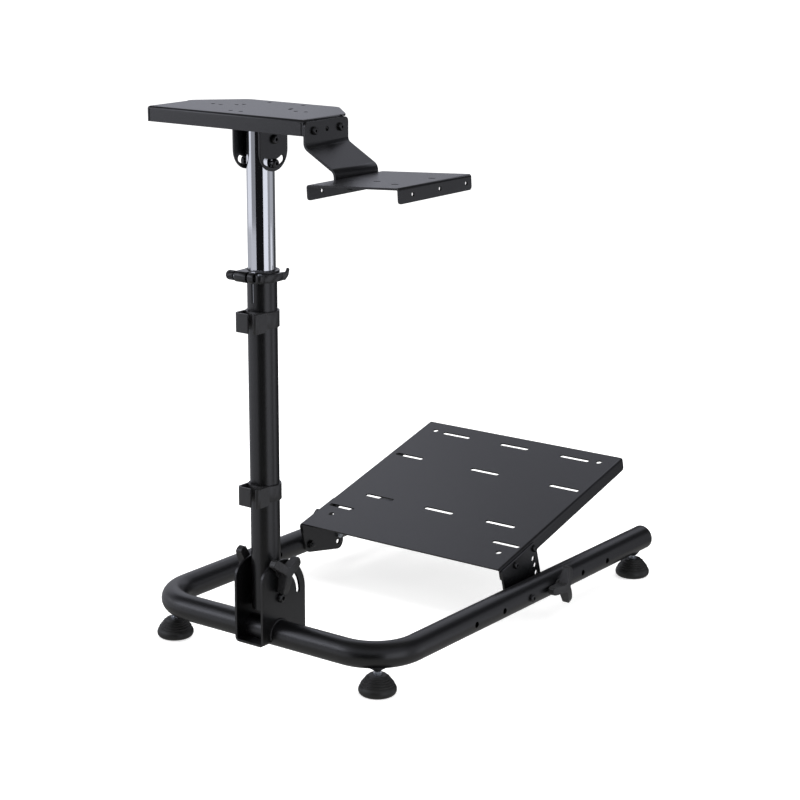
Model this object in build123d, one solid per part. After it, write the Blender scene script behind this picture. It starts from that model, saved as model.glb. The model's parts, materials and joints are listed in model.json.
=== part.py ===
from build123d import *
import math
import os

# All sizes are in millimetres. X runs to the driver's right, Y away from the driver, Z up from the floor.
# The pieces are placed about the column: its axis stands at X 0, Y 0.

# Clearances, and how far a cut runs past the face that it opens
slot_clear = 0.3
running_clear = 0.05
past = 1.0

# Base frame: one bent tube, a cross piece in front and a leg on each side
tube_d = 42.4
tube_wall = 2.0
leg_x = 236.0
cross_y = -4.0
leg_end_y = 762.0
corner_r = 75.0
base_z = 64.0
leg_hole_d = 10.0
leg_hole_first_y = 212.0
leg_hole_pitch = 79.5
leg_hole_count = 6
cap_dome = 10.0
cap_plug = 18.0

# Feet: levelling pads on studs in bosses under the tube
foot_d = 60.0
foot_base_d = 44.0
foot_top_d = 29.0
foot_h = 32.0
foot_wide_z = 8.5
foot_shoulder_in = 3.5
foot_shoulder_h = 7.5
stud_d = 8.0
stud_in_pad = 14.0
stud_nut_w = 13.0
stud_nut_h = 3.0
boss_d = 20.0
boss_drop = 4.5
boss_taper = 4.0
front_foot_turn = 50.0
rear_foot_y = 732.0

# Column bracket: a bent channel welded over the cross tube
bracket_gap = 49.0
bracket_t = 4.0
bracket_bend = 7.0
bracket_bottom_z = 50.0
bracket_front = 43.5
bracket_rear = 61.0
pivot_z = 121.5
tilt_bolt_r = 44.0
tilt_slot_turn = 90.0
pivot_bolt_d = 12.0
tilt_bolt_d = 8.0

# Column: a lower tube, a chromed tube that slides in it, and the clamp between them
lower_d = 46.0
lower_wall = 1.6
lower_below_pivot = 20.5
lower_top_z = 640.0
slit_w = 3.5
slit_len = 49.0
upper_gap = 0.1
upper_wall = 1.6
upper_bottom_z = 326.0
upper_top_drop = 27.0
collar_drop = 16.0
collar_h = 17.0
collar_t = 4.0
collar_gap = 4.0
lug_w = 22.0
lug_reach = 10.5
lug_round = 7.0
skewer_reach = 2.0
skewer_d = 6.0
skewer_out = 12.0
clamp_nut_d = 15.0
clamp_nut_len = 14.0
clamp_nut_neck_d = 11.0
clamp_nut_neck = 5.0
clamp_nut_round = 4.0
clamp_flute_d = 3.0
clamp_flutes = 12
cam_d = 14.0
lever_gap = 3.0
lever_t = 5.0
lever_h = 12.0
lever_turn = 72.0
lever_tip_turn = 50.0
lever_hook = ((0.0, 0.0), (5.0, 0.0), (10.0, 7.0), (12.0, 18.0), (8.0, 18.0), (6.0, 12.0), (0.0, 12.0))
lever_hook_round = 1.8

# Cable clips on the lower tube
clip_z = (274.5, 548.5)
clip_h = 30.0
clip_band_h = 25.0
clip_wall = 3.0
clip_half_w = 21.5
clip_reach = 19.0
clip_slot_w = 9.0
clip_slot_x = 10.5
clip_lip_round = 1.4
clip_corner = 7.0
clip_heel = 8.0

# Wheel plate: flanged sheet on two ears
wheel_half_w = 150.0
wheel_front = 82.0
wheel_side_back = 17.0
wheel_back = 79.0
wheel_back_half_w = 88.0
wheel_corner = 20.0
wheel_top_z = 885.0
wheel_t = 3.0
wheel_flange = 23.3
sheet_bend = 4.0
wheel_hole_d = 7.0
wheel_holes = ((90.0, -2.0), (52.0, 8.0), (33.0, 62.0), (73.0, -4.0), (46.0, 18.0), (10.0, -54.0))
corner_gap = 1.5
ear_gap = 1.7
ear_t = 4.0
ear_half_w = 32.0
ear_pivot_drop = 45.0
ear_round_drop = 61.0
lock_bolt_r = 36.0
lock_slot_turn = 31.0
lock_slot_w = 11.0
plate_bolt_d = 8.0

# Shifter arm and shifter plate on the wheel plate's right side
arm_t = 4.0
arm_top_drop = 3.0
arm_round = 7.0
arm_bend = 11.0
arm_upper_h = 39.0
arm_shift_x = 54.0
arm_drop = 31.0
arm_lower_h = 31.0
arm_hole_d = 7.0
arm_hole_pitch = 30.0
arm_hole_drop = 16.5
shifter_w = 160.0
shifter_len = 170.0
shifter_front = 148.0
shifter_t = 3.0
shifter_flange = 22.0
shifter_round = 5.0
shifter_roll = 3.5
shifter_hole_d = 6.0
shifter_hole_pitch = 63.0
shifter_hole_first = 31.5
shifter_hole_drop = 11.5
shifter_slot_len = 12.0
shifter_slot_w = 6.0
shifter_slots = ((34.0, 55.0), (77.0, 61.0), (125.0, 38.0), (134.0, 112.0))

# Pedal plate: a sloped flanged sheet between the legs, on two brackets
deck_front_y = 343.0
deck_front_z = 110.5
deck_len = 400.0
deck_slope = 15.0
deck_t = 2.5
deck_flange = 23.0
deck_corner = 6.0
deck_slot_w = 8.0
deck_slot_len = 60.0
deck_short_slot_len = 54.0
deck_slot_rows = (
    (370.0, (-129.0, 0.0, 129.0)),
    (272.0, (-167.5, 0.0, 167.5)),
    (126.5, (-129.0, 0.0, 129.0)),
)
deck_short_row = (74.0, (-175.0, 175.0))
deck_hole_d = 10.0
deck_holes = ((-178.0, 373.0), (178.0, 373.0), (-178.0, 47.0), (178.0, 47.0))
deck_bolt_v = (39.5, 96.5)
deck_bolt_drop = 12.5
side_plate_t = 4.0
side_plate_len = 104.0
side_boss_r = 14.0
side_step_turn = 10.4
side_steps = (-1, 0, 1, 2, 3)
side_first_hole = 2

# Bolts and knobs
bolt_d = 8.0
bolt_head_d = 14.0
bolt_head_h = 5.0
bolt_socket_w = 5.0
small_bolt_d = 6.0
small_head_d = 12.0
small_head_h = 4.5
small_socket_w = 4.0
pivot_head_d = 16.0
pivot_head_h = 6.5
pivot_socket_w = 6.0
head_rim = 0.4
head_flat = 0.6
socket_depth = 0.6
nut_chamfer = 0.8
knob_r = 35.0
knob_dome_r = 100.0
knob_blade_w = 14.0
knob_tip_round = 5.0
knob_root_round = 3.0
knob_hub_d = 22.0
knob_hub_h = 3.5
knob_h = 17.0
knob_edge = 1.2
knob_bolt_in = 12.0
pedal_knob_turn = 60.0
right_tilt_knob_turn = 22.0
left_tilt_knob_turn = 0.0

# Sizes that follow
tube_r = tube_d / 2
lower_r = lower_d / 2
upper_r = lower_r - lower_wall - upper_gap
plate_out_x = bracket_gap / 2 + bracket_t
ear_in_x = upper_r + ear_gap
ear_out_x = ear_in_x + ear_t
tilt_bolt_z = pivot_z + tilt_bolt_r
wheel_under_z = wheel_top_z - wheel_t
upper_top_z = wheel_top_z - upper_top_drop
ear_pivot_z = wheel_top_z - ear_pivot_drop
ear_round_z = wheel_top_z - ear_round_drop
lock_bolt_z = ear_pivot_z - lock_bolt_r
collar_z = lower_top_z - collar_drop
leg_in_x = leg_x - tube_r
leg_out_x = leg_x + tube_r
deck_half_w = leg_in_x - side_plate_t
collar_r = lower_r + running_clear + collar_t
skewer_y = -(collar_r + skewer_reach)
cam_x = collar_gap / 2 + lug_w / 2 + slot_clear + cam_d / 2
side_hole_y = leg_hole_first_y + side_first_hole * leg_hole_pitch
knob_hole_y = side_hole_y + leg_hole_pitch


def bar_x(d, x0, x1, y, z):
    return Pos((x0 + x1) / 2, y, z) * Rot(0, 90, 0) * Cylinder(d / 2, x1 - x0)


def bar_z(d, x, y, z0, z1):
    return Pos(x, y, (z0 + z1) / 2) * Cylinder(d / 2, z1 - z0)


def hex_nut(width, height):
    # nut on Z from zero up, as wide across its flats as said, with its corners taken off
    nut = extrude(RegularPolygon(width / 2, 6, major_radius=False), height)
    corner_r = width / math.sqrt(3)
    blank = Pos(0, 0, height / 2) * Cylinder(corner_r, height)
    return nut & chamfer(blank.edges().filter_by(GeomType.CIRCLE), nut_chamfer)


def button_head(d, h, socket_w):
    # domed head on Z from zero up, with a hexagon socket
    r = d / 2
    rim = (r, head_rim * h)
    crown = (head_flat * r, h)
    sides = Polyline(crown, (0, h), (0, 0), (r, 0), rim)
    head = revolve(Plane.XZ * make_face([sides, TangentArc(rim, crown, tangent=(0, 1))]), Axis.Z)
    socket = Pos(0, 0, h) * extrude(RegularPolygon(socket_w / 2, 6, major_radius=False), -socket_depth * h)
    return head - socket


def on_right(x, y, z, solid):
    # a solid made on Z, turned to point along X from a place
    return Pos(x, y, z) * Rot(0, 90, 0) * solid


def on_left(x, y, z, solid):
    return Pos(x, y, z) * Rot(0, -90, 0) * solid


def block(x0, x1, y0, y1, z0, z1):
    return Pos((x0 + x1) / 2, (y0 + y1) / 2, (z0 + z1) / 2) * Box(x1 - x0, y1 - y0, z1 - z0)


def side_sheet(face, x0, x1):
    # a face drawn in Y and Z, thickened from x0 to x1
    return Pos(x0, 0, 0) * extrude(Plane.YZ * face, x1 - x0)


def arc_slot(centre_z, radius, width, start, end):
    # slot along an arc about a point on the column's axis, angles from +Y towards +Z
    path = CenterArc((0, centre_z), radius, start, end - start)
    slot = trace(path, width)
    for point in (path @ 0, path @ 1):
        slot += Pos(point.X, point.Y) * Circle(width / 2)
    return slot


def mirrored(solid):
    return mirror(solid, about=Plane.YZ)


def folded_sheet(half_w, y0, y1, depth, sheet, front, low_round=0.0):
    # sheet with its top at Z zero, folded down along both sides and, if asked, along its front edge
    outer = block(-half_w, half_w, y0, y1, -depth, 0)
    if low_round:
        outer = fillet(outer.edges().filter_by(Axis.X).group_by(Axis.Z)[0], low_round)
    inner_y0 = y0 + sheet if front else y0 - past
    inner = block(sheet - half_w, half_w - sheet, inner_y0, y1 + past, -2 * depth, -sheet)
    shells = []
    for solid, bend in ((outer, sheet_bend), (inner, sheet_bend - sheet)):
        folds = solid.edges().filter_by(Axis.Y).group_by(Axis.Z)[-1]
        if front:
            folds += solid.edges().filter_by(Axis.X).group_by(Axis.Z)[-1].sort_by(Axis.Y)[:1]
        shells.append(fillet(folds, bend))
    return shells[0] - shells[1]


# Base frame

def frame_bar(d):
    path = FilletPolyline(
        (-leg_x, leg_end_y, base_z),
        (-leg_x, cross_y, base_z),
        (leg_x, cross_y, base_z),
        (leg_x, leg_end_y, base_z),
        radius=corner_r,
    )
    end = Plane(origin=(-leg_x, leg_end_y, base_z), z_dir=(0, -1, 0))
    return sweep(end * Circle(d / 2), path=path)


def foot_points():
    turn = math.radians(front_foot_turn)
    front_x = leg_x - corner_r + corner_r * math.cos(turn)
    front_y = cross_y + corner_r - corner_r * math.sin(turn)
    return {
        "front_left": (-front_x, front_y),
        "front_right": (front_x, front_y),
        "rear_left": (-leg_x, rear_foot_y),
        "rear_right": (leg_x, rear_foot_y),
    }


def base_frame():
    boss_z = base_z - tube_r - boss_drop
    boss = bar_z(boss_d, 0, 0, boss_z, base_z)
    boss = chamfer(boss.edges().filter_by(GeomType.CIRCLE).sort_by(Axis.Z)[0], boss_taper)
    frame = frame_bar(tube_d)
    for x, y in foot_points().values():
        frame += Pos(x, y, 0) * boss
    frame -= frame_bar(tube_d - 2 * tube_wall)
    for x, y in foot_points().values():
        frame -= bar_z(stud_d + 2 * running_clear, x, y, boss_z - past, base_z)
    for i in range(leg_hole_count):
        y = leg_hole_first_y + i * leg_hole_pitch
        for side in (-1, 1):
            frame -= bar_x(leg_hole_d, side * leg_x - tube_d, side * leg_x + tube_d, y, base_z)
    return frame


def end_cap():
    bore_r = tube_r - tube_wall - running_clear
    dome_r = (tube_r ** 2 + cap_dome ** 2) / (2 * cap_dome)
    dome = Pos(0, 0, cap_dome - dome_r) * Sphere(dome_r)
    dome &= Pos(0, 0, cap_dome / 2) * Cylinder(tube_r, cap_dome)
    cap = dome + Pos(0, 0, -cap_plug / 2) * Cylinder(bore_r, cap_plug)
    return Pos(leg_x, leg_end_y, base_z) * Rot(-90, 0, 0) * cap


def foot_pad(x, y):
    r = foot_d / 2
    base = (foot_base_d / 2, 0)
    wide = (r, foot_wide_z)
    shoulder = (r - foot_shoulder_in, foot_wide_z + foot_shoulder_h)
    outline = [
        TangentArc(base, wide, tangent=(1, 0)),
        TangentArc(wide, shoulder, tangent=(0, 1)),
        Polyline(shoulder, (foot_top_d / 2, foot_h), (0, foot_h), (0, 0), base),
    ]
    pad = revolve(Plane.XZ * make_face(outline), Axis.Z)
    pad -= bar_z(stud_d + 2 * running_clear, 0, 0, foot_h - stud_in_pad, foot_h + past)
    return Pos(x, y, 0) * pad


def foot_stud(x, y):
    boss_z = base_z - tube_r - boss_drop
    top = boss_z + boss_drop + tube_wall
    nut = Pos(0, 0, foot_h) * hex_nut(stud_nut_w, stud_nut_h)
    return Pos(x, y, 0) * (bar_z(stud_d, 0, 0, foot_h - stud_in_pad, top) + nut)


# Column bracket and tilt hardware

def column_bracket():
    width = bracket_gap + 2 * bracket_t
    top = pivot_z + bracket_rear
    outer = Pos(0, (bracket_rear - bracket_front) / 2, (bracket_bottom_z + top) / 2) * Box(
        width, bracket_rear + bracket_front, top - bracket_bottom_z)
    low = outer.edges().filter_by(Axis.Y).group_by(Axis.Z)[0]
    outer = fillet(low, bracket_bend)
    inner = Pos(0, (bracket_rear - bracket_front) / 2, (bracket_bottom_z + bracket_t + top) / 2) * Box(
        bracket_gap, bracket_rear + bracket_front + 2 * past, top - bracket_bottom_z - bracket_t)
    low = inner.edges().filter_by(Axis.Y).group_by(Axis.Z)[0]
    inner = fillet(low, bracket_bend - bracket_t)
    channel = outer - inner
    lower = Pos((bracket_rear - bracket_front) / 2, (bracket_bottom_z + pivot_z) / 2) * Rectangle(
        bracket_rear + bracket_front, pivot_z - bracket_bottom_z)
    crown = Pos(0, pivot_z) * Circle(bracket_rear)
    crown &= Pos((bracket_rear - bracket_front) / 2, pivot_z) * Rectangle(
        bracket_rear + bracket_front, 2 * bracket_rear)
    channel &= side_sheet(lower + crown, -width, width)
    channel -= bar_x(tube_d + 2 * running_clear, -width, width, cross_y, base_z)
    channel -= bar_x(pivot_bolt_d + 2 * running_clear, -width, width, 0, pivot_z)
    slot = arc_slot(pivot_z, tilt_bolt_r, tilt_bolt_d + 2 * slot_clear, 90 - tilt_slot_turn, 90)
    return channel - side_sheet(slot, -width, width)


def pivot_bolt():
    shank = bar_x(pivot_bolt_d, -plate_out_x, plate_out_x, 0, pivot_z)
    head = on_right(plate_out_x, 0, pivot_z, button_head(pivot_head_d, pivot_head_h, pivot_socket_w))
    return shank + head + on_left(-plate_out_x, 0, pivot_z, hex_nut(pivot_head_d, pivot_head_h))


def knob(turn):
    # three blades, the first at an angle from +Y towards +Z once the knob points along X; hub down at zero
    sketch = Sketch()
    for i in range(3):
        blade = Pos(knob_r / 2, 0) * Rectangle(knob_r, knob_blade_w)
        blade = fillet(blade.vertices().group_by(Axis.X)[-1], knob_tip_round)
        sketch += Rot(0, 0, 120 * i) * blade
    roots = sketch.vertices().sort_by(lambda v: v.X ** 2 + v.Y ** 2)[:3]
    sketch = fillet(roots, knob_root_round)
    body = Pos(0, 0, knob_hub_h) * extrude(sketch, knob_h)
    body &= Pos(0, 0, knob_hub_h + knob_h - knob_dome_r) * Sphere(knob_dome_r)
    body = fillet(body.faces().sort_by(Axis.Z)[-1].edges(), knob_edge)
    body += Pos(0, 0, knob_hub_h / 2) * Cylinder(knob_hub_d / 2, knob_hub_h)
    body -= Pos(0, 0, knob_bolt_in / 2) * Cylinder(bolt_d / 2 + running_clear, knob_bolt_in)
    return Rot(0, 0, 90 + turn) * body


def tilt_knob(turn):
    return on_right(plate_out_x + slot_clear, 0, tilt_bolt_z, knob(turn))


def tilt_bolt():
    end = plate_out_x + slot_clear + knob_bolt_in
    return bar_x(tilt_bolt_d, -end, end, 0, tilt_bolt_z)


# Column

def lower_column():
    bottom = pivot_z - lower_below_pivot
    tube = bar_z(lower_d, 0, 0, bottom, lower_top_z)
    tube -= bar_z(2 * (lower_r - lower_wall), 0, 0, bottom - past, lower_top_z + past)
    tube -= bar_x(pivot_bolt_d + 2 * running_clear, -lower_d, lower_d, 0, pivot_z)
    tube -= bar_x(tilt_bolt_d + 2 * running_clear, -lower_d, lower_d, 0, tilt_bolt_z)
    slit_end = lower_top_z - slit_len + slit_w / 2
    slit = block(-slit_w / 2, slit_w / 2, -lower_d, 0, slit_end, lower_top_z + past)
    slit += Pos(0, -lower_d / 2, slit_end) * Rot(90, 0, 0) * Cylinder(slit_w / 2, lower_d)
    return tube - slit


def upper_column():
    tube = bar_z(2 * upper_r, 0, 0, upper_bottom_z, upper_top_z)
    tube -= bar_z(2 * (upper_r - upper_wall), 0, 0, upper_bottom_z - past, upper_top_z + past)
    for z in (ear_pivot_z, lock_bolt_z):
        tube -= bar_x(plate_bolt_d + 2 * running_clear, -lower_d, lower_d, 0, z)
    return tube


def clamp_collar():
    top = collar_z + collar_h
    half = collar_gap / 2 + lug_w / 2
    ring = bar_z(2 * collar_r, 0, 0, collar_z, top)
    lug = Pos(-lug_w / 4, -(collar_r + lug_reach) / 2, collar_z + collar_h / 2) * Box(
        2 * half + lug_w / 2, collar_r + lug_reach, collar_h)
    lug = fillet(lug.edges().filter_by(Axis.X).group_by(Axis.Y)[0], lug_round)
    ring += lug
    ring -= bar_z(lower_d + 2 * running_clear, 0, 0, collar_z - past, top + past)
    ring -= block(-collar_gap / 2, collar_gap / 2, -2 * collar_r, 0, collar_z - past, top + past)
    hole_d = skewer_d + 2 * running_clear
    return ring - bar_x(hole_d, -2 * lug_w, 2 * lug_w, skewer_y, collar_z + collar_h / 2)


def clamp_skewer():
    left = -(collar_gap / 2 + lug_w)
    z = collar_z + collar_h / 2
    return bar_x(skewer_d, left - skewer_out, collar_gap / 2 + lug_w / 2, skewer_y, z)


def clamp_nut():
    # fluted thumb nut with a neck towards the lug
    section = Circle(clamp_nut_d / 2)
    for i in range(clamp_flutes):
        section -= Rot(0, 0, 360 * i / clamp_flutes) * Pos(clamp_nut_d / 2, 0) * Circle(clamp_flute_d / 2)
    grip = Pos(0, 0, clamp_nut_neck) * extrude(section, clamp_nut_len)
    blank = Pos(0, 0, clamp_nut_neck + clamp_nut_len / 2) * Cylinder(clamp_nut_d / 2, clamp_nut_len)
    grip &= fillet(blank.edges().filter_by(GeomType.CIRCLE).sort_by(Axis.Z)[-1], clamp_nut_round)
    nut = grip + Pos(0, 0, clamp_nut_neck / 2) * Cylinder(clamp_nut_neck_d / 2, clamp_nut_neck)
    nut -= Pos(0, 0, skewer_out / 2) * Cylinder(skewer_d / 2 + running_clear, skewer_out)
    return on_left(-(collar_gap / 2 + lug_w), skewer_y, collar_z + collar_h / 2, nut)


def clamp_lever():
    z = collar_z + collar_h / 2
    mid_r = collar_r + lever_gap + lever_t / 2
    start = math.degrees(math.atan2(skewer_y, cam_x))
    head = bar_z(cam_d, cam_x, skewer_y, z - lever_h / 2, z + lever_h / 2)
    path = CenterArc((0, 0), mid_r, start, lever_turn)
    band = extrude(trace(path, lever_t), lever_h)
    tip = path @ 1
    lean = start + lever_turn + 90 - lever_tip_turn
    hook = make_face(Polyline(*lever_hook, close=True))
    hook = fillet(hook.vertices().filter_by(lambda v: v.X > 0), lever_hook_round)
    hook = Rot(0, 0, lean) * extrude(Plane.XZ * hook, lever_t / 2, both=True)
    band += Pos(tip.X, tip.Y, 0) * (hook + Pos(0, 0, lever_h / 2) * Cylinder(lever_t / 2, lever_h))
    return head + Pos(0, 0, z - lever_h / 2) * band


def cable_clip(z):
    # band round the tube and a taller loop in front, with rounded heels under its side walls
    reach = lower_r + clip_reach
    band_r = lower_r + running_clear + clip_wall
    loop = Pos(0, -reach / 2) * RectangleRounded(2 * clip_half_w, reach, clip_corner)
    space = Pos(0, -reach / 2) * RectangleRounded(
        2 * (clip_half_w - clip_wall), reach - 2 * clip_wall, clip_corner - clip_wall)
    loop -= space
    loop -= Pos(clip_slot_x, -reach) * Rectangle(clip_slot_w, 3 * clip_wall)
    front = loop.vertices().filter_by(lambda v: v.Y < clip_wall / 2 - reach)
    loop = fillet(front.sort_by(lambda v: abs(v.X - clip_slot_x))[:2], clip_lip_round)
    solid = extrude(loop, clip_h)
    heel_y = math.sqrt(band_r ** 2 - clip_half_w ** 2)
    side = Pos(-(reach + heel_y) / 2, clip_h / 2) * Rectangle(reach - heel_y, clip_h)
    side = fillet(side.vertices().group_by(Axis.Y)[0].sort_by(Axis.X)[-1:], clip_heel)
    solid &= side_sheet(side, -reach, reach)
    solid += Pos(0, 0, clip_h - clip_band_h / 2) * Cylinder(band_r, clip_band_h)
    solid -= Pos(0, 0, clip_h / 2) * Cylinder(lower_r + running_clear, 2 * clip_h)
    return Pos(0, 0, z) * solid


# Wheel plate

def wheel_plate():
    outline = Polyline(
        (-wheel_half_w, -wheel_front), (wheel_half_w, -wheel_front), (wheel_half_w, wheel_side_back),
        (wheel_back_half_w, wheel_back), (-wheel_back_half_w, wheel_back), (-wheel_half_w, wheel_side_back),
        close=True,
    )
    top = make_face(outline)
    top = fillet(top.vertices().filter_by(lambda v: v.Y > 0), wheel_corner)
    fold_end = wheel_side_back - wheel_corner / 2
    back_x = wheel_half_w - sheet_bend
    back = extrude(top, -wheel_t) & block(-back_x, back_x, fold_end, wheel_back, -wheel_t, 0)
    plate = folded_sheet(wheel_half_w, -wheel_front, fold_end, wheel_flange, wheel_t, True) + back
    gap_x = wheel_half_w - wheel_t
    gap = block(gap_x - corner_gap, gap_x, -wheel_front, wheel_t - wheel_front, -wheel_flange, -sheet_bend)
    plate = Pos(0, 0, wheel_top_z) * (plate - gap - mirrored(gap))
    for x, y in wheel_holes:
        for side in (-1, 1):
            plate -= bar_z(wheel_hole_d, side * x, y, wheel_under_z - past, wheel_top_z + past)
    for y in arm_hole_rows():
        for side in (-1, 1):
            x = side * wheel_half_w
            plate -= bar_x(arm_hole_d, x - 2 * wheel_t, x + 2 * wheel_t, y, wheel_top_z - arm_hole_drop)
    return plate


def arm_hole_rows():
    middle = (wheel_side_back - wheel_front) / 2
    return [middle + i * arm_hole_pitch for i in (-1, 0, 1)]


def wheel_ear():
    flat_h = wheel_under_z - ear_round_z
    outline = Pos(0, ear_round_z + flat_h / 2) * Rectangle(2 * ear_half_w, flat_h)
    outline += Pos(0, ear_round_z) * Circle(ear_half_w)
    outline -= Pos(0, ear_pivot_z) * Circle(plate_bolt_d / 2 + running_clear)
    outline -= arc_slot(ear_pivot_z, lock_bolt_r, lock_slot_w, 270 - lock_slot_turn, 270 + lock_slot_turn)
    return side_sheet(outline, ear_in_x, ear_out_x)


def plate_bolt(z):
    out = ear_out_x + slot_clear
    shank = bar_x(plate_bolt_d, -out, out, 0, z)
    head = on_right(out, 0, z, button_head(bolt_head_d, bolt_head_h, bolt_socket_w))
    return shank + head + on_left(-out, 0, z, hex_nut(bolt_head_d, bolt_head_h))


# Shifter arm and plate

def shifter_corner():
    # outer top corner of the shifter plate's left flange, in X and Z
    turn = math.radians(shifter_roll)
    x = wheel_half_w + arm_t / 2 + arm_shift_x
    z = wheel_top_z - arm_upper_h - arm_drop
    return x + arm_t / 2 * math.cos(turn), z + arm_t / 2 * math.sin(turn)


def shifter_place():
    x, z = shifter_corner()
    drop = arm_lower_h - shifter_flange
    turn = math.radians(shifter_roll)
    corner = Pos(x + drop * math.sin(turn), -shifter_front, z - drop * math.cos(turn))
    return corner * Rot(0, -shifter_roll, 0)


def shifter_arm():
    turn = math.radians(shifter_roll)
    top = (wheel_half_w + arm_t / 2, wheel_top_z - arm_top_drop)
    bend = (top[0], wheel_top_z - arm_upper_h)
    low = (top[0] + arm_shift_x, bend[1] - arm_drop)
    end = (low[0] + arm_lower_h * math.sin(turn), low[1] - arm_lower_h * math.cos(turn))
    path = FilletPolyline(top, bend, low, end, radius=arm_bend)
    strip = trace(path, arm_t)
    arm = Pos(0, wheel_side_back, 0) * extrude(Plane.XZ * strip, wheel_front + wheel_side_back)
    arm = fillet(arm.edges().filter_by(Axis.X).group_by(Axis.Z)[-1], arm_round)
    hole_z = wheel_top_z - arm_hole_drop
    for y in arm_hole_rows():
        arm -= bar_x(arm_hole_d, wheel_half_w - past, wheel_half_w + 2 * arm_t, y, hole_z)
    for hole in shifter_holes()[1:]:
        arm -= shifter_place() * bar_x(shifter_hole_d, -3 * arm_t, 3 * arm_t, hole, -shifter_hole_drop)
    return arm


def shifter_holes():
    return [shifter_hole_first + i * shifter_hole_pitch for i in range(3)]


def shifter_plate():
    # top left front corner at the local origin
    body = folded_sheet(shifter_w / 2, 0, shifter_len, shifter_flange, shifter_t, False, shifter_round)
    body = Pos(shifter_w / 2, 0, 0) * body
    for y in shifter_holes():
        body -= bar_x(shifter_hole_d, -past, shifter_w + past, y, -shifter_hole_drop)
    slot = extrude(SlotOverall(shifter_slot_len, shifter_slot_w), 4 * shifter_t, both=True)
    for x, y in shifter_slots:
        body -= Pos(x, y, 0) * slot
    return shifter_place() * body


def arm_bolts():
    bolts = []
    z = wheel_top_z - arm_hole_drop
    for y in arm_hole_rows()[0::2]:
        bolts.append(fastener(wheel_half_w - wheel_t, wheel_half_w + arm_t, y, z))
    for y in shifter_holes()[1:]:
        bolts.append(shifter_place() * mirrored(fastener(-shifter_t, arm_t, y, -shifter_hole_drop)))
    return bolts


def fastener(x0, x1, y, z):
    # button head outside at x1, nut inside at x0
    shank = bar_x(small_bolt_d - 2 * running_clear, x0, x1, y, z)
    head = on_right(x1, y, z, button_head(small_head_d, small_head_h, small_socket_w))
    return shank + head + on_left(x0, y, z, hex_nut(small_head_d, small_head_h))


# Pedal plate

def deck_place():
    return Pos(0, deck_front_y, deck_front_z) * Rot(deck_slope, 0, 0)


def pedal_plate():
    body = folded_sheet(deck_half_w, 0, deck_len, deck_flange, deck_t, False, deck_corner)
    rows = [(v, x, deck_slot_len) for v, xs in deck_slot_rows for x in xs]
    rows += [(deck_short_row[0], x, deck_short_slot_len) for x in deck_short_row[1]]
    for v, x, length in rows:
        body -= Pos(x, v, 0) * extrude(SlotOverall(length, deck_slot_w), 2 * deck_t, both=True)
    for x, v in deck_holes:
        body -= bar_z(deck_hole_d, x, v, -2 * deck_t, deck_t)
    for v in deck_bolt_v:
        body -= bar_x(small_bolt_d, -deck_half_w - past, deck_half_w + past, v, -deck_bolt_drop)
    return deck_place() * body


def pedal_bracket():
    # side plate between the pedal plate's flange and the leg, square to the pedal plate
    turn = math.radians(deck_slope)
    holes = [(side_hole_y, base_z)]
    for i in side_steps:
        step = math.radians(i * side_step_turn)
        y = side_hole_y + leg_hole_pitch * math.cos(step)
        holes.append((y, base_z + leg_hole_pitch * math.sin(step)))
    corners = []
    for v in (sheet_bend, side_plate_len - sheet_bend):
        y = deck_front_y + v * math.cos(turn) + 2 * sheet_bend * math.sin(turn)
        z = deck_front_z + v * math.sin(turn) - 2 * sheet_bend * math.cos(turn)
        corners.append((y, z))
    rounds = [Pos(*c) * Circle(sheet_bend) for c in corners]
    rounds += [Pos(*h) * Circle(side_boss_r) for h in (holes[0], holes[1], holes[2])]
    plate = make_hull([e for r in rounds for e in r.edges()])
    for h in holes:
        plate -= Pos(*h) * Circle(leg_hole_d / 2)
    solid = side_sheet(plate, deck_half_w, deck_half_w + side_plate_t)
    for v in deck_bolt_v:
        solid -= deck_place() * bar_x(small_bolt_d, deck_half_w - past, leg_in_x + past, v, -deck_bolt_drop)
    return solid


def deck_bolts():
    x1 = deck_half_w + side_plate_t
    return [deck_place() * fastener(deck_half_w - deck_t, x1, v, -deck_bolt_drop) for v in deck_bolt_v]


def leg_bolt():
    shank = bar_x(bolt_d, deck_half_w, leg_out_x, side_hole_y, base_z)
    head = button_head(bolt_head_d, bolt_head_h, bolt_socket_w)
    nut = on_left(deck_half_w, side_hole_y, base_z, hex_nut(bolt_head_d, bolt_head_h))
    return shank + on_right(leg_out_x, side_hole_y, base_z, head) + nut


def pedal_knob():
    return on_right(leg_out_x, knob_hole_y, base_z, knob(pedal_knob_turn))


def pedal_knob_bolt():
    shank = bar_x(bolt_d, deck_half_w, leg_out_x + knob_bolt_in, knob_hole_y, base_z)
    return shank + on_left(deck_half_w, knob_hole_y, base_z, hex_nut(bolt_head_d, bolt_head_h))


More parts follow.
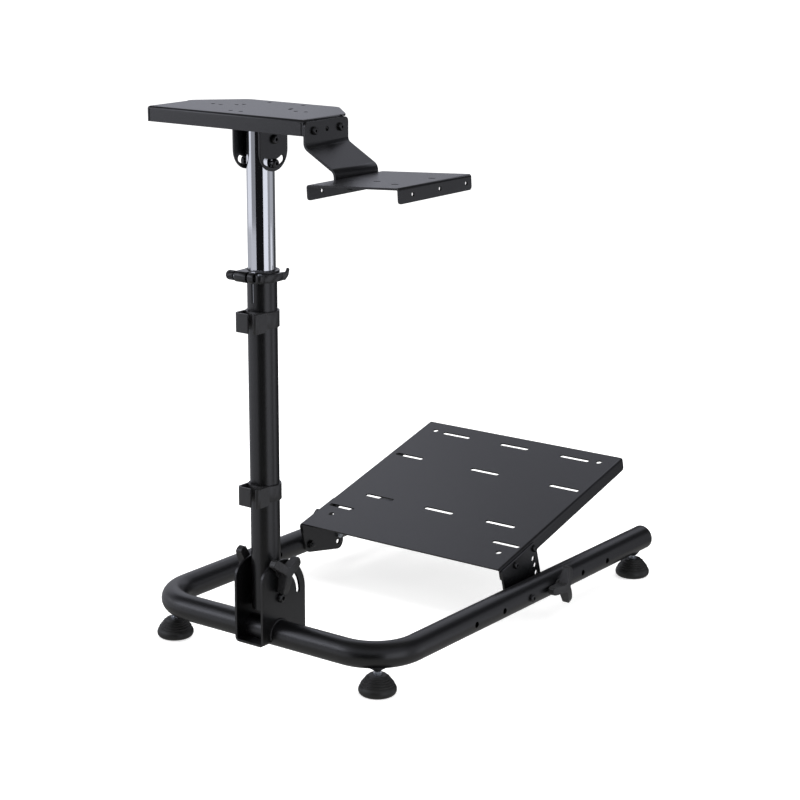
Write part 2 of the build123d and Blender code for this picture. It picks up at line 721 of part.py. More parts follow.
def pieces():
    nodes = {"base_frame": base_frame(), "column_bracket": column_bracket(), "pivot_bolt": pivot_bolt()}
    for name, (x, y) in foot_points().items():
        nodes[name + "_foot"] = foot_pad(x, y)
        nodes[name + "_foot_stud"] = foot_stud(x, y)
    pairs = {
        "end_cap": end_cap(),
        "ear": wheel_ear(),
        "pedal_bracket": pedal_bracket(),
        "leg_bolt": leg_bolt(),
        "pedal_knob": pedal_knob(),
        "pedal_knob_bolt": pedal_knob_bolt(),
    }
    for name, solid in pairs.items():
        nodes["right_" + name] = solid
        nodes["left_" + name] = mirrored(solid)
    nodes["right_deck_bolts"] = Compound(children=deck_bolts())
    nodes["left_deck_bolts"] = Compound(children=[mirrored(b) for b in deck_bolts()])
    nodes["tilt_bolt"] = tilt_bolt()
    nodes["right_tilt_knob"] = tilt_knob(right_tilt_knob_turn)
    nodes["left_tilt_knob"] = mirrored(tilt_knob(left_tilt_knob_turn))
    nodes["lower_column"] = lower_column()
    nodes["clamp_collar"] = clamp_collar()
    nodes["clamp_skewer"] = clamp_skewer()
    nodes["clamp_nut"] = clamp_nut()
    nodes["clamp_lever"] = clamp_lever()
    nodes["lower_cable_clip"] = cable_clip(clip_z[0])
    nodes["upper_cable_clip"] = cable_clip(clip_z[1])
    nodes["upper_column"] = upper_column()
    nodes["plate_pivot_bolt"] = plate_bolt(ear_pivot_z)
    nodes["plate_lock_bolt"] = plate_bolt(lock_bolt_z)
    nodes["wheel_plate"] = wheel_plate()
    nodes["shifter_arm"] = shifter_arm()
    nodes["shifter_plate"] = shifter_plate()
    nodes["shifter_bolts"] = Compound(children=arm_bolts())
    nodes["pedal_plate"] = pedal_plate()
    return nodes


def floor_middle(solids):
    # the row's origin is on the floor, under the middle of the whole stand
    boxes = [s.bounding_box() for s in solids]
    x = (min(b.min.X for b in boxes) + max(b.max.X for b in boxes)) / 2
    y = (min(b.min.Y for b in boxes) + max(b.max.Y for b in boxes)) / 2
    return Pos(-x, -y, -min(b.min.Z for b in boxes))


def main():
    os.makedirs("parts", exist_ok=True)
    nodes = pieces()
    middle = floor_middle(nodes.values())
    print("column axis at", tuple(middle.position))
    for name, solid in nodes.items():
        export_step(middle * solid, os.path.join("parts", name + ".step"))


main()
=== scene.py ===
import bmesh
import bpy
import json
import math
from mathutils import Matrix, Vector


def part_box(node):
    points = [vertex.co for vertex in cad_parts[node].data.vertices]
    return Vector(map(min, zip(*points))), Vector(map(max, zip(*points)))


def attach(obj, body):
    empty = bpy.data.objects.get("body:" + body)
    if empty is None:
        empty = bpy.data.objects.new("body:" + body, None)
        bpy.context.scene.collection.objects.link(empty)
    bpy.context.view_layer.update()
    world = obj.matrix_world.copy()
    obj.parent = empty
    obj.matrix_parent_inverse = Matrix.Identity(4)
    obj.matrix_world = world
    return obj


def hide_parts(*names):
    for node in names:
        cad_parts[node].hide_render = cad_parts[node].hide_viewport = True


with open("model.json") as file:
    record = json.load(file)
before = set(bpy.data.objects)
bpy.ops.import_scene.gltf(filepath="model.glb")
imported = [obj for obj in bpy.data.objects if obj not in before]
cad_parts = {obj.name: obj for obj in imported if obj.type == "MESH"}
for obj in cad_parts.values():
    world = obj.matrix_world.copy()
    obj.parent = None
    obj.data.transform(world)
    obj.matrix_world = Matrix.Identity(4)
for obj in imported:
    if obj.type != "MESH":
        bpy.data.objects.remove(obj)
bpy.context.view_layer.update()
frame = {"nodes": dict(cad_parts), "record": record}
nodes = frame["nodes"]
record = frame["record"]
print("frame loaded:", len(nodes), "nodes")

mmPerMetre = 1000.0  # the frame is in metres, the sizes below are in millimetres


def linear(hexColour):
    values = [int(hexColour[i:i + 2], 16) / 255 for i in (1, 3, 5)]
    return [v / 12.92 if v < 0.04045 else ((v + 0.055) / 1.055) ** 2.4 for v in values] + [1.0]


def addNode(tree, kind, settings=None, links=None):  # one node, its values and what feeds it
    made = tree.nodes.new(kind)
    for name, value in (settings or {}).items():
        if isinstance(name, int) or name in made.inputs:
            made.inputs[name].default_value = value
        else:
            setattr(made, name, value)
    for name, source in (links or {}).items():
        tree.links.new(source, made.inputs[name])
    return made


def perMetre(sizeMm):  # texture scale for a grain of that size: object coordinates are in metres
    return mmPerMetre / sizeMm


def startMaterial(name):
    made = bpy.data.materials.new(name)
    made.use_nodes = True
    made.node_tree.nodes.clear()
    return made, made.node_tree


def endMaterial(tree, shader, outlet="BSDF"):
    addNode(tree, "ShaderNodeOutputMaterial", links={"Surface": shader.outputs[outlet]})


# how finely each noise breaks up, and the span that most of a noise's values lie in
detailSpec = {"peel": 3.0, "speck": 1.0, "drift": 5.0, "line": 4.0}
noiseLow, noiseHigh = 0.3, 0.7


def grain(tree, place, scale, detail):
    made = addNode(tree, "ShaderNodeTexNoise", {"Scale": scale, "Detail": detail}, {"Vector": place})
    return made.outputs["Fac"]


def blend(tree, first, second, source):  # inputs 6 and 7 of a colour mix are its colours, output 2 is the result
    made = addNode(tree, "ShaderNodeMix", {"data_type": "RGBA", 6: first, 7: second}, {0: source})
    return made.outputs[2]


def gloss(tree, spec, source):
    span = {"From Min": noiseLow, "From Max": noiseHigh, "To Min": spec["roughLow"], "To Max": spec["roughHigh"]}
    return addNode(tree, "ShaderNodeMapRange", span, {"Value": source}).outputs["Result"]


# polyester powder coat, sprayed and baked on steel: satin black, with an orange peel that softens reflections
# the peel is drawn about twice its real 0.8 mm so that it shows at this distance
powderCoatSpec = {"dark": "#050506", "light": "#0c0c0d", "peelMm": 1.6, "speckMm": 0.6, "driftMm": 120.0, "ior": 1.7,
                  "roughLow": 0.27, "roughHigh": 0.38, "peelDepthMm": 0.08, "peelStrength": 0.6}

# black nylon, injection moulded with a fine spark texture: matte, a shade greyer than the coat
nylonSpec = {"dark": "#1e1e1f", "light": "#282829", "peelMm": 0.9, "speckMm": 0.5, "driftMm": 30.0, "ior": 1.6,
             "roughLow": 0.32, "roughHigh": 0.46, "peelDepthMm": 0.05, "peelStrength": 0.35}

# the clamp's glass-filled nylon: darker and smoother, so that its edges glint
clampSpec = {"dark": "#0d0d0e", "light": "#161617", "peelMm": 0.9, "speckMm": 0.5, "driftMm": 20.0, "ior": 1.6,
             "roughLow": 0.22, "roughHigh": 0.34, "peelDepthMm": 0.03, "peelStrength": 0.3}

# black rubber, moulded: dull, with a dusty drift over it
rubberSpec = {"dark": "#171717", "light": "#242423", "peelMm": 2.4, "speckMm": 0.8, "driftMm": 18.0, "ior": 1.5,
              "roughLow": 0.34, "roughHigh": 0.50, "peelDepthMm": 0.06, "peelStrength": 0.4}

# black oxide on steel screws: near black, smoother than the coat, with a faint mottle
blackOxideSpec = {"dark": "#070708", "light": "#0f0f10", "peelMm": 0.7, "speckMm": 0.4, "driftMm": 6.0, "ior": 1.7,
                  "roughLow": 0.24, "roughHigh": 0.36, "peelDepthMm": 0.015, "peelStrength": 0.25}


def blackFinish(name, spec):
    made, tree = startMaterial(name)
    place = addNode(tree, "ShaderNodeTexCoord").outputs["Object"]
    peel, speck, drift = (grain(tree, place, perMetre(spec[kind + "Mm"]), detailSpec[kind])
                          for kind in ("peel", "speck", "drift"))
    tone = blend(tree, linear(spec["dark"]), linear(spec["light"]), drift)
    depth = spec["peelDepthMm"] / mmPerMetre
    bump = addNode(tree, "ShaderNodeBump", {"Strength": spec["peelStrength"], "Distance": depth}, {"Height": peel})
    shader = addNode(tree, "ShaderNodeBsdfPrincipled", {"IOR": spec["ior"]}, {
        "Base Color": tone, "Roughness": gloss(tree, spec, speck), "Normal": bump.outputs["Normal"]})
    endMaterial(tree, shader)
    return made


# hard chrome on drawn tube: a mirror with faint polishing lines along the tube
# worn: how much of its colour the darkest line keeps
chromeSpec = {"colour": "#eef0f3", "worn": 0.9, "lineMm": 0.5, "runMm": 60.0, "roughLow": 0.06, "roughHigh": 0.085}

# bright zinc on steel: silvery with a blue cast and a cloudy passivation
zincSpec = {"colour": "#c3c7cb", "worn": 0.9, "lineMm": 1.2, "runMm": 1.6, "roughLow": 0.20, "roughHigh": 0.36}


def platedMetal(name, spec):
    made, tree = startMaterial(name)
    place = addNode(tree, "ShaderNodeTexCoord").outputs["Object"]
    across = perMetre(spec["lineMm"])
    along = perMetre(spec["runMm"])
    stretch = addNode(tree, "ShaderNodeMapping", {"Scale": (across, across, along)}, {"Vector": place})
    lines = grain(tree, stretch.outputs["Vector"], 1.0, detailSpec["line"])
    tint = linear(spec["colour"])
    worn = [c * spec["worn"] for c in tint[:3]] + [1.0]
    tone = blend(tree, worn, tint, lines)
    shader = addNode(tree, "ShaderNodeBsdfPrincipled", {"Metallic": 1.0}, {
        "Base Color": tone, "Roughness": gloss(tree, spec, lines)})
    endMaterial(tree, shader)
    return made


finishes = {
    "powder_coated_steel": blackFinish("powder_coat_satin_black", powderCoatSpec),
    "moulded_plastic": blackFinish("nylon_moulded_black", nylonSpec),
    "clamp_plastic": blackFinish("nylon_clamp_black", clampSpec),
    "rubber": blackFinish("rubber_moulded_black", rubberSpec),
    "blackened_steel": blackFinish("black_oxide_steel", blackOxideSpec),
    "chrome_plate": platedMetal("hard_chrome_tube", chromeSpec),
    "zinc_plate": platedMetal("bright_zinc_steel", zincSpec),
}
for part in record["subparts"]:
    mesh = nodes[part["node"]].data
    mesh.materials.clear()
    mesh.materials.append(finishes[part["material_slot"]])
print("finishes given to", len(record["subparts"]), "nodes")

# edges of sheets and mouldings, rounded by so many millimetres so that they catch the light
edgeSpec = {
    "wheel_plate": 0.6, "left_ear": 0.8, "right_ear": 0.8, "shifter_arm": 0.8,
    "shifter_plate": 0.6, "pedal_plate": 0.5, "left_pedal_bracket": 0.8, "right_pedal_bracket": 0.8,
    "clamp_collar": 0.8, "clamp_lever": 0.9, "lower_cable_clip": 1.2, "upper_cable_clip": 1.2,
}


# flatDeg: faces that lie this flat to each other are one, cornerDeg: edges sharper than this are rounded
softSpec = {"seamMm": 0.01, "flatDeg": 0.5, "cornerDeg": 35.0, "segments": 2}


def weldSeams(thing):  # joins the faces that the model keeps apart
    weld = thing.modifiers.new("weld", "WELD")
    weld.merge_threshold = softSpec["seamMm"] / mmPerMetre


def softenEdges(thing, width):
    weldSeams(thing)
    flat = thing.modifiers.new("flat", "DECIMATE")
    flat.decimate_type = "DISSOLVE"
    flat.angle_limit = math.radians(softSpec["flatDeg"])
    edge = thing.modifiers.new("edge", "BEVEL")
    edge.width = width / mmPerMetre
    edge.segments = softSpec["segments"]
    edge.limit_method = "ANGLE"
    edge.angle_limit = math.radians(softSpec["cornerDeg"])
    edge.harden_normals = True


for name, width in edgeSpec.items():
    softenEdges(nodes[name], width)
print("edges rounded on", len(edgeSpec), "nodes")

# small pieces, placed in millimetres from the column's foot; folds of more than sharpDeg stay sharp on them
sharpDeg = 50.0
tubeLow, tubeHigh = (Vector(corner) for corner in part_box("lower_column"))
columnFoot = Vector(((tubeLow.x + tubeHigh.x) / 2, (tubeLow.y + tubeHigh.y) / 2, 0.0))


def spot(point):
    return columnFoot + Vector(point) / mmPerMetre


def skin(rings, loop=False):  # a tube through rings of points, capped at its ends unless it closes on itself
    count = len(rings[0])
    faces = []
    for r in range(len(rings) if loop else len(rings) - 1):
        a, b = r * count, (r + 1) % len(rings) * count
        faces += [(a + k, a + (k + 1) % count, b + (k + 1) % count, b + k) for k in range(count)]
    points = [point for ring in rings for point in ring]
    if not loop:
        faces += [tuple(range(count)), tuple(range(len(points) - count, len(points)))]
    return points, faces


def turned(profile, at, along, loop=False, count=32, pitch=0.0, depth=0.0):
    # radius and height rows turned about an axis, with a helical thread where a pitch is given
    along = Vector(along)
    across = along.orthogonal().normalized()
    third = along.cross(across)
    rings = []
    for radius, height in profile:
        ring = []
        for k in range(count):
            angle = 2 * math.pi * k / count
            groove = depth * (0.5 - 0.5 * math.cos(2 * math.pi * height / pitch - angle)) if pitch else 0.0
            out = (across * math.cos(angle) + third * math.sin(angle)) * (radius - groove)
            ring.append(spot(Vector(at) + along * height + out))
        rings.append(ring)
    return skin(rings, loop)


def addPiece(name, skins, body, slot):
    mesh = bpy.data.meshes.new(name)
    points, faces = [], []
    for morePoints, moreFaces in skins:
        start = len(points)
        points += morePoints
        faces += [tuple(start + i for i in face) for face in moreFaces]
    mesh.from_pydata(points, [], faces)
    shell = bmesh.new()
    shell.from_mesh(mesh)
    bmesh.ops.recalc_face_normals(shell, faces=shell.faces)
    shell.to_mesh(mesh)
    shell.free()
    mesh.shade_smooth()
    mesh.set_sharp_from_angle(angle=math.radians(sharpDeg))
    mesh.materials.append(finishes[slot])
    made = bpy.data.objects.new(name, mesh)
    bpy.context.scene.collection.objects.link(made)
    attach(made, body)


# bracket: the node's shape with the corner between each cheek's front edge and its arch rounded
# arcMiddle and arcR are the rounding's own circle, in Y and Z
bracketSpec = {"arcMiddle": (-21.5, 154.04), "arcR": 22.0, "start": 123.45, "end": 180.0, "far": (-60.0, 190.0),
               "halfX": 40.0, "edge": 0.8, "steps": 16}


def roundBracket(spec):
    steps = spec["steps"]
    turns = [math.radians(spec["start"] + (spec["end"] - spec["start"]) * s / steps) for s in range(steps + 1)]
    y, z = spec["arcMiddle"]
    outline = [(y + spec["arcR"] * math.cos(a), z + spec["arcR"] * math.sin(a)) for a in turns]
    outline += [(spec["far"][0], outline[-1][1]), spec["far"], (outline[0][0], spec["far"][1])]
    rings = [[spot((x, *corner)) for corner in outline] for x in (-spec["halfX"], spec["halfX"])]
    points, faces = skin(rings)
    shape = bpy.data.meshes.new("corner")
    shape.from_pydata(points, [], faces)
    cutter = bpy.data.objects.new("corner", shape)
    made = bpy.data.objects.new("bracket_round", nodes["column_bracket"].data.copy())
    for thing in (cutter, made):
        bpy.context.scene.collection.objects.link(thing)
    weldSeams(made)
    cut = made.modifiers.new("cut", "BOOLEAN")
    cut.operation = "DIFFERENCE"
    cut.solver = "EXACT"
    cut.object = cutter
    result = bpy.data.meshes.new_from_object(made.evaluated_get(bpy.context.evaluated_depsgraph_get()))
    made.modifiers.clear()
    made.data = result
    bpy.data.objects.remove(cutter)
    softenEdges(made, spec["edge"])
    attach(made, "base")
    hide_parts("column_bracket")


roundBracket(bracketSpec)

# weld beads: scallops a little over two millimetres apart, each of so many rings with so many sides
# dip: how far a bead draws in between scallops, end: how thin its ends are
beadSpec = {"rippleMm": 2.3, "steps": 6, "around": 10, "dip": 0.2, "end": 0.5}


def weldBead(path, radius, normal, loop=False):  # path in millimetres
    points = [Vector(p) for p in path]
    if loop:
        points.append(points[0])
    runs = [(b - a).length for a, b in zip(points, points[1:])]
    count = round(sum(runs) / beadSpec["rippleMm"]) * beadSpec["steps"]
    stops = []
    i, done = 0, 0.0
    for s in range(count if loop else count + 1):
        reach = sum(runs) * s / count
        while i < len(runs) - 1 and done + runs[i] < reach:
            done += runs[i]
            i += 1
        stops.append(points[i].lerp(points[i + 1], (reach - done) / runs[i]))
    angles = [2 * math.pi * k / beadSpec["around"] for k in range(beadSpec["around"])]
    rings = []
    for s, middle in enumerate(stops):
        before = stops[s - 1] if s or loop else middle
        after = stops[(s + 1) % len(stops)] if loop or s < len(stops) - 1 else middle
        along = (after - before).normalized()
        side = along.cross(Vector(normal)).normalized()
        top = side.cross(along)
        scallop = 1 - beadSpec["dip"] * (1 - abs(math.sin(math.pi * s / beadSpec["steps"])))
        if not loop and s in (0, len(stops) - 1):
            scallop = beadSpec["end"]
        rings.append([spot(middle + (side * math.cos(a) + top * math.sin(a)) * radius * scallop) for a in angles])
    return skin(rings, loop)


# the cross tube welded into the bracket's cheeks, from one bend of the channel round to the other
bracketWeldSpec = {"x": 28.9, "y": -4.0, "z": 64.0, "ring": 21.7, "bead": 2.4, "start": -16, "end": 196, "step": 4}


def bracketWelds(spec):
    beads = []
    for side in (-1, 1):
        turns = [math.radians(a) for a in range(spec["start"], spec["end"] + 1, spec["step"])]
        path = [(side * spec["x"], spec["y"] + spec["ring"] * math.cos(a), spec["z"] + spec["ring"] * math.sin(a))
                for a in turns]
        beads.append(weldBead(path, spec["bead"], (side, 0, 0)))
    addPiece("bracket_welds", beads, "base", "powder_coated_steel")


bracketWelds(bracketWeldSpec)

# the ears welded under the wheel plate, along their outer face and round both ends
earWeldSpec = {"inner": 24.0, "outer": 27.3, "half": 32.3, "z": 881.8, "bead": 2.0}


def earWelds(spec):
    beads = []
    for side in (-1, 1):
        turns = [(spec["inner"], -spec["half"]), (spec["outer"], -spec["half"]), (spec["outer"], spec["half"]),
                 (spec["inner"], spec["half"])]
        beads.append(weldBead([(side * x, y, spec["z"]) for x, y in turns], spec["bead"], (0, 0, 1)))
    addPiece("ear_welds", beads, "wheel_head", "powder_coated_steel")


earWelds(earWeldSpec)

# wheel plate: the back corners filled out to the side folds; back: how far round the corner, in degrees
cornerSpec = {"low": 882.0, "high": 885.0, "inner": 145.9, "front": 6.9, "middle": (130.0, 8.72), "arcR": 20.0,
              "back": 37.0, "steps": 10}


def plateCorners(spec):
    skins = []
    for side in (-1, 1):
        x, y = spec["middle"]
        turns = [math.radians(spec["back"] * s / spec["steps"]) for s in range(spec["steps"] + 1)]
        outline = [(spec["inner"], spec["front"]), (x + spec["arcR"], spec["front"])]
        outline += [(x + spec["arcR"] * math.cos(a), y + spec["arcR"] * math.sin(a)) for a in turns]
        skins.append(skin([[spot((side * px, py, h)) for px, py in outline] for h in (spec["low"], spec["high"])]))
    addPiece("plate_corners", skins, "wheel_head", "powder_coated_steel")


plateCorners(cornerSpec)

# each foot: a bead round the boss under the tube, and moulded rings round the pad
# across: which way is square to the tube there, in degrees from the driver's right
footSpec = {"across": {"front_left": 230, "front_right": -50, "rear_left": 0, "rear_right": 0}, "tubeR": 21.2,
            "tubeZ": 64.0, "ring": 10.4, "bead": 1.5, "step": 10, "padRing": 1.5, "padSides": 8, "padCount": 64,
            "padRings": [(25.2, 17.6), (22.7, 20.9), (20.2, 24.2), (17.7, 27.5)]}


def footDetails(spec):
    beads, ridges = [], []
    sides = spec["padSides"]
    section = [(math.cos(a), math.sin(a)) for a in (2 * math.pi * k / sides for k in range(sides))]
    for name, across in spec["across"].items():
        low, high = (Vector(corner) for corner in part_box(name + "_foot"))
        x, y, _ = ((low + high) / 2 - columnFoot) * mmPerMetre
        path = []
        for degrees in range(0, 360, spec["step"]):
            a = math.radians(degrees)
            reach = spec["ring"] * math.cos(math.radians(degrees - across))
            z = spec["tubeZ"] - math.sqrt(spec["tubeR"] ** 2 - reach ** 2)
            path.append((x + spec["ring"] * math.cos(a), y + spec["ring"] * math.sin(a), z))
        beads.append(weldBead(path, spec["bead"], (0, 0, 1), loop=True))
        for radius, height in spec["padRings"]:
            rows = [(radius + spec["padRing"] * c, height + spec["padRing"] * s) for c, s in section]
            ridges.append(turned(rows, (x, y, 0), (0, 0, 1), loop=True, count=spec["padCount"]))
    addPiece("boss_welds", beads, "base", "powder_coated_steel")
    addPiece("pad_rings", ridges, "base", "rubber")


footDetails(footSpec)

# bolt ends that stand out of their nuts: thread, which way it points, and where
# a thread is its diameter, its pitch and how far it stands out
m6, m8, m12 = (6.0, 1.0, 2.5), (8.0, 1.25, 3.0), (12.0, 1.75, 3.5)
right, left, outward = (1, 0, 0), (-1, 0, 0), (0.99813, 0, 0.06105)
boltEndSpec = {
    "pivot_bolt_end": {"body": "base", "slot": "blackened_steel", "ends": [(m12, left, (-35.0, 0.0, 121.5))]},
    "leg_bolt_ends": {"body": "base", "slot": "blackened_steel", "ends": [
        (m8, right, (-205.8, 371.0, 64.0)), (m8, left, (205.8, 371.0, 64.0))]},
    "knob_bolt_ends": {"body": "base", "slot": "zinc_plate", "ends": [
        (m8, right, (-205.8, 450.5, 64.0)), (m8, left, (205.8, 450.5, 64.0))]},
    "deck_bolt_ends": {"body": "base", "slot": "blackened_steel", "ends": [
        (m6, right, (-203.8, 384.39, 108.65)), (m6, left, (203.8, 384.39, 108.65)),
        (m6, right, (-203.8, 439.45, 123.40)), (m6, left, (203.8, 439.45, 123.40))]},
    "plate_bolt_ends": {"body": "upper_column", "slot": "blackened_steel", "ends": [
        (m8, left, (-32.3, 0.0, 840.0)), (m8, left, (-32.3, 0.0, 804.0))]},
    "arm_bolt_ends": {"body": "wheel_head", "slot": "blackened_steel", "ends": [
        (m6, left, (142.5, -62.5, 868.5)), (m6, left, (142.5, -2.5, 868.5)),
        (m6, outward, (216.73, -53.5, 795.12)), (m6, outward, (216.73, 9.5, 795.12))]},
}

# rings per pitch, how deep an end is sunk in its nut, its chamfer in from the side and back from the tip, and the
# thread's depth as a share of its pitch
threadSpec = {"rings": 8, "sunk": 0.2, "chamfer": [(0.3, 0.5), (1.0, 0.0)], "depth": 0.6}


def boltEnds(spec, thread):
    for name, group in spec.items():
        skins = []
        for (d, pitch, length), along, at in group["ends"]:
            steps = round(length / pitch * thread["rings"])
            rows = [(d / 2, length * s / steps - thread["sunk"]) for s in range(steps - 1)]
            rows += [(d / 2 - inward, length - back) for inward, back in thread["chamfer"]]
            skins.append(turned(rows, at, along, pitch=pitch, depth=thread["depth"] * pitch))
        addPiece(name, skins, group["body"], group["slot"])


boltEnds(boltEndSpec, threadSpec)

# clamp: a riveted cam pin through the lever's head, and a washer under the thumb nut
# rows: radius, and height along the pin or washer
camPinSpec = {"x": 20.3, "y": -29.05, "low": 626.5, "high": 638.5,
              "rows": [(3.3, -0.2), (3.3, 0.5), (2.8, 1.0), (1.4, 1.3)]}
clampWasherSpec = {"at": (-24.0, -29.05, 632.5),
                   "rows": [(5.6, 0.05), (7.4, 0.05), (7.7, 0.3), (7.7, 1.0), (7.4, 1.2), (5.6, 1.2)]}


def clampSteel(pin, washer):
    heads = [turned(pin["rows"], (pin["x"], pin["y"], pin["high"]), (0, 0, 1)),
             turned(pin["rows"], (pin["x"], pin["y"], pin["low"]), (0, 0, -1))]
    addPiece("cam_pin", heads, "clamp_lever", "zinc_plate")
    addPiece("clamp_washer", [turned(washer["rows"], washer["at"], left, loop=True)], "column", "zinc_plate")


clampSteel(camPinSpec, clampWasherSpec)
print("small pieces added")

# camera and studio: angles in degrees, places in metres
cameraSpec = {"lensMm": 95.7, "sensorMm": 36.0, "yaw": 36.62, "pitch": 14.344, "roll": 0.125,
              "place": (2.01225, -2.73010, 1.24720), "clipEnd": 200.0}


def standCamera(spec):
    lens = bpy.data.cameras.new("camera")
    lens.lens = spec["lensMm"]
    lens.sensor_width = spec["sensorMm"]
    lens.clip_end = spec["clipEnd"]
    made = bpy.data.objects.new("camera", lens)
    turn = Matrix.Rotation(math.radians(spec["yaw"]), 4, "Z")
    tip = Matrix.Rotation(math.radians(90.0 - spec["pitch"]), 4, "X")
    roll = Matrix.Rotation(math.radians(spec["roll"]), 4, "Z")
    made.matrix_world = Matrix.Translation(spec["place"]) @ turn @ tip @ roll
    bpy.context.scene.collection.objects.link(made)
    bpy.context.scene.camera = made


standCamera(cameraSpec)

# white paper: the glow, for the camera alone, brings it up to white around the object's shadow
floorSpec = {"halfSize": 40.0, "colour": "#e9e9e9", "glow": 0.66}


def layFloor(spec):
    half = spec["halfSize"]
    mesh = bpy.data.meshes.new("floor")
    mesh.from_pydata([(-half, -half, 0), (half, -half, 0), (half, half, 0), (-half, half, 0)], [], [(0, 1, 2, 3)])
    floor = bpy.data.objects.new("floor", mesh)
    bpy.context.scene.collection.objects.link(floor)
    made, tree = startMaterial("floor_pale_paper")
    path = addNode(tree, "ShaderNodeLightPath")
    glow = addNode(tree, "ShaderNodeMath", {"operation": "MULTIPLY", 1: spec["glow"]},
                   {0: path.outputs["Is Camera Ray"]})
    paper = addNode(tree, "ShaderNodeBsdfDiffuse", {"Color": linear(spec["colour"])})
    light = addNode(tree, "ShaderNodeEmission", links={"Strength": glow.outputs[0]})
    both = addNode(tree, "ShaderNodeAddShader", links={0: paper.outputs["BSDF"], 1: light.outputs["Emission"]})
    endMaterial(tree, both, "Shader")
    mesh.materials.append(made)
    floor.visible_glossy = False  # the walls go on below it for reflections


layFloor(floorSpec)

# studio walls round the column that only reflections see, in bands from below the floor up
# each panel: azimuth from the camera's side, turning right, and how bright it is
# ground is the level of the sheet that closes them below, facet how many degrees each flat of a panel takes
wallSpec = {"radius": 2.4, "middle": (-0.046, -0.312), "ground": 0.30, "groundColour": "#ffffff", "facet": 6,
            "bands": [
    {"low": -0.62, "high": 0.3, "colour": "#f3f5ff", "panels": [
        (-180, -125, 0.50), (-125, -88, 0.52), (-88, -40, 0.60), (-40, 22, 0.008), (22, 60, 0.95), (60, 81, 0.28),
        (81, 100, 0.85), (100, 118, 0.34), (118, 180, 0.06)]},
    {"low": 0.3, "high": 0.9, "colour": "#f3f5ff", "panels": [
        (-180, -125, 0.55), (-125, -79, 0.90), (-79, -74, 0.50), (-74, -40, 0.28), (-40, 22, 0.008), (22, 60, 0.95),
        (60, 81, 0.35), (81, 118, 0.45), (118, 180, 0.10)]},
    {"low": 0.9, "high": 1.6, "colour": "#f0f2ff", "panels": [
        (-180, -138, 0.80), (-138, -100, 0.35), (-100, -55, 2.20), (-55, 22, 0.30), (22, 60, 0.50), (60, 100, 0.25),
        (100, 138, 0.05), (138, 180, 0.74)]},
    {"low": 1.6, "high": 2.6, "colour": "#f0f2ff", "panels": [
        (-180, -150, 0.90), (-150, -105, 0.05), (-105, -60, 1.00), (-60, 70, 0.35), (70, 138, 0.06),
        (138, 180, 0.52)]},
    {"low": 2.6, "high": 3.4, "colour": "#f0f2ff", "panels": [
        (-180, -100, 0.06), (-100, 70, 0.35), (70, 138, 0.06), (138, 180, 0.75)]},
]}


def standPanel(name, points, faces, colour, level):  # a glowing sheet that only reflections see
    mesh = bpy.data.meshes.new(name)
    mesh.from_pydata(points, [], faces)
    made, tree = startMaterial(name)
    endMaterial(tree, addNode(tree, "ShaderNodeEmission", {"Strength": level, "Color": linear(colour)}), "Emission")
    mesh.materials.append(made)
    panel = bpy.data.objects.new(name, mesh)
    bpy.context.scene.collection.objects.link(panel)
    panel.visible_camera = False
    panel.visible_diffuse = False
    panel.visible_shadow = False
    panel.visible_transmission = False


def standWalls(spec, toward):
    def onWall(turn, height):
        angle = toward + math.radians(turn)
        across = spec["radius"] * Vector((math.cos(angle), math.sin(angle), 0))
        return Vector((*spec["middle"], height)) + across

    for b, band in enumerate(spec["bands"]):
        for i, (start, end, level) in enumerate(band["panels"]):
            steps = max(2, int((end - start) / spec["facet"]))
            turns = [start + (end - start) * s / steps for s in range(steps + 1)]
            points = [onWall(t, band[edge]) for t in turns for edge in ("low", "high")]
            faces = [(2 * s, 2 * s + 2, 2 * s + 3, 2 * s + 1) for s in range(steps)]
            standPanel("wall_%d_%d" % (b, i), points, faces, band["colour"], level)
    rim = [onWall(t, spec["bands"][0]["low"]) for t in range(-180, 180, spec["facet"])]
    standPanel("ground", rim, [tuple(range(len(rim)))], spec["groundColour"], spec["ground"])


standWalls(wallSpec, math.radians(cameraSpec["yaw"] - 90.0))

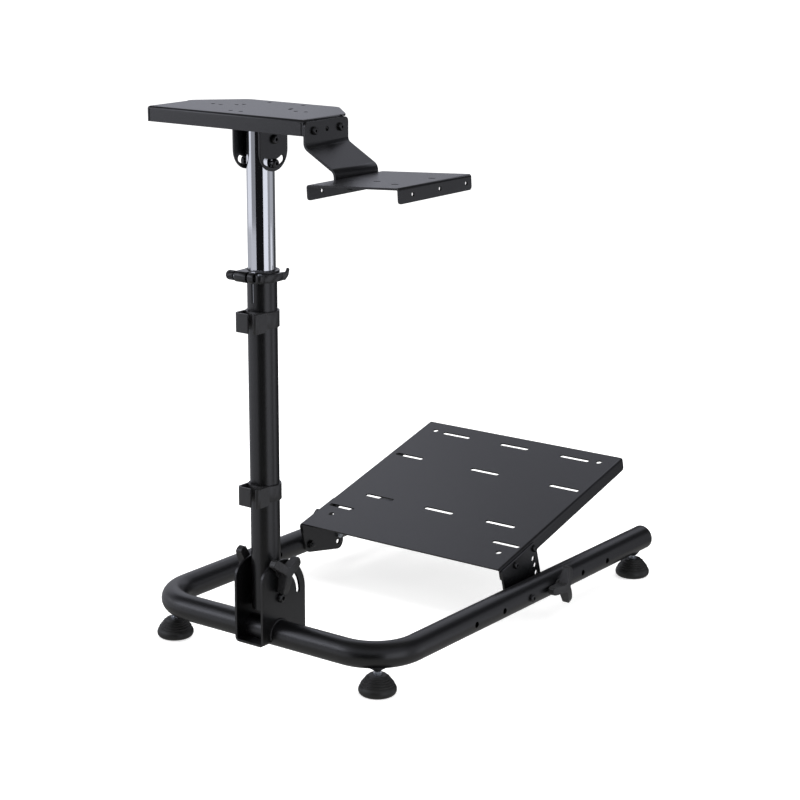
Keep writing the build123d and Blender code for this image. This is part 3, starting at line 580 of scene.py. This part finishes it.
# softboxes: where each hangs, what it faces, its size in metres and its power in watts
lampSpec = {
    "overhead": {"at": (0.0, 0.1, 2.8), "face": (0.0, 0.0, 0.3), "size": (2.4, 2.4), "power": 50.0},
    "left": {"at": (-2.2, -1.6, 1.5), "face": (0.0, 0.0, 0.4), "size": (1.4, 2.0), "power": 25.0},
    "right": {"at": (2.4, 0.2, 1.4), "face": (0.0, 0.0, 0.4), "size": (1.2, 1.8), "power": 20.0},
}


def hangLamps(spec):
    for name, box in spec.items():
        light = bpy.data.lights.new(name, "AREA")
        light.shape = "RECTANGLE"
        light.size, light.size_y = box["size"]
        light.energy = box["power"]
        made = bpy.data.objects.new(name, light)
        made.location = box["at"]
        made.rotation_euler = (Vector(box["face"]) - Vector(box["at"])).to_track_quat("-Z", "Y").to_euler()
        made.visible_glossy = False  # the walls stand for them in reflections
        bpy.context.scene.collection.objects.link(made)


hangLamps(lampSpec)

# how bright the sky is to the camera, as light on the object, and in reflections
skySpec = {"colour": "#ffffff", "seen": 1.0, "ambient": 0.64, "mirrored": 0.11}


def paintSky(spec):
    world = bpy.data.worlds.new("studio")
    bpy.context.scene.world = world
    world.use_nodes = True
    tree = world.node_tree
    tree.nodes.clear()
    path = addNode(tree, "ShaderNodeLightPath")
    seen = addNode(tree, "ShaderNodeMath", {"operation": "MAXIMUM"},
                   {0: path.outputs["Is Camera Ray"], 1: path.outputs["Is Transmission Ray"]})
    level = addNode(tree, "ShaderNodeMapRange", {"To Min": spec["ambient"], "To Max": spec["seen"]},
                    {"Value": seen.outputs[0]})
    dim = addNode(tree, "ShaderNodeMix", {3: spec["mirrored"]},
                  {0: path.outputs["Is Glossy Ray"], 2: level.outputs["Result"]})  # 2 and 3 are the mixed numbers
    sky = addNode(tree, "ShaderNodeBackground", {"Color": linear(spec["colour"])}, {"Strength": dim.outputs[0]})
    addNode(tree, "ShaderNodeOutputWorld", links={"Surface": sky.outputs["Background"]})


paintSky(skySpec)
bpy.context.scene.view_settings.view_transform = "Standard"
print("camera and studio ready")
